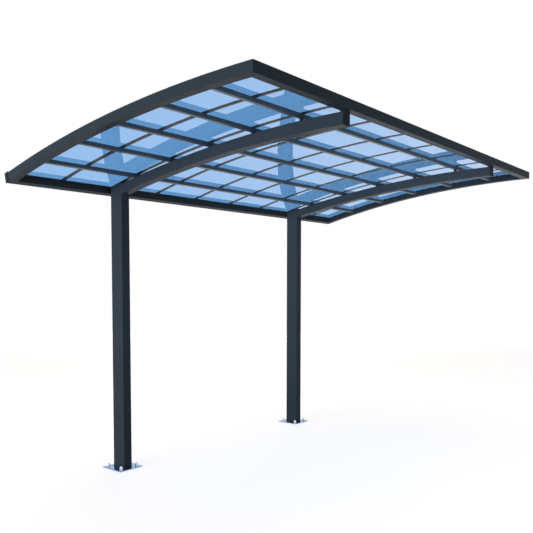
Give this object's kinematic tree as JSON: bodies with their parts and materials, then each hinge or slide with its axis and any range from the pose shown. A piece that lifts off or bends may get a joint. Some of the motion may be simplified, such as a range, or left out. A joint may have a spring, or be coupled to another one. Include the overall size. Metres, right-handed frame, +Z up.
{
  "type": "cantilever carport",
  "caption": "Cantilever carport: rectangular posts on bolted base plates carry curved arms and an arched roof of translucent panels in a metal frame, with a gutter along the low edge.",
  "frame": {"origin": "middle of the near base plate's underside, on the ground", "axes": "+X outboard from the posts towards the high edge, +Y along the roof from the near post to the far post, +Z up"},
  "size_m": [3.0538, 5.4, 3.379],
  "materials": {
    "frame": "satin anthracite powder coat on aluminium",
    "caps": "dark matt",
    "plates": "galvanised",
    "panels": "glossy translucent blue polycarbonate"
  },
  "bodies": {
    "root": {"near_post": "frame", "far_post": "frame", "near_beam": "frame", "far_beam": "frame", "near_end_rail": "frame", "far_end_rail": "frame", "high_edge_rail": "frame", "gutter": "frame", "purlin_1": "frame", "purlin_2": "frame", "purlin_3": "frame", "purlin_4": "frame", "purlin_5": "frame", "rafter_1": "frame", "rafter_2": "frame", "rafter_3": "frame", "rafter_4": "frame", "rafter_5": "frame", "rafter_6": "frame", "rafter_7": "frame", "rafter_8": "frame", "near_beam_cap": "caps", "far_beam_cap": "caps", "near_gutter_cap": "caps", "far_gutter_cap": "caps", "near_base_plate": "plates", "far_base_plate": "plates", "panel_1": "panels", "panel_2": "panels", "panel_3": "panels", "panel_4": "panels", "panel_5": "panels", "panel_6": "panels", "panel_7": "panels", "panel_8": "panels", "panel_9": "panels"}
  },
  "joints": []
}
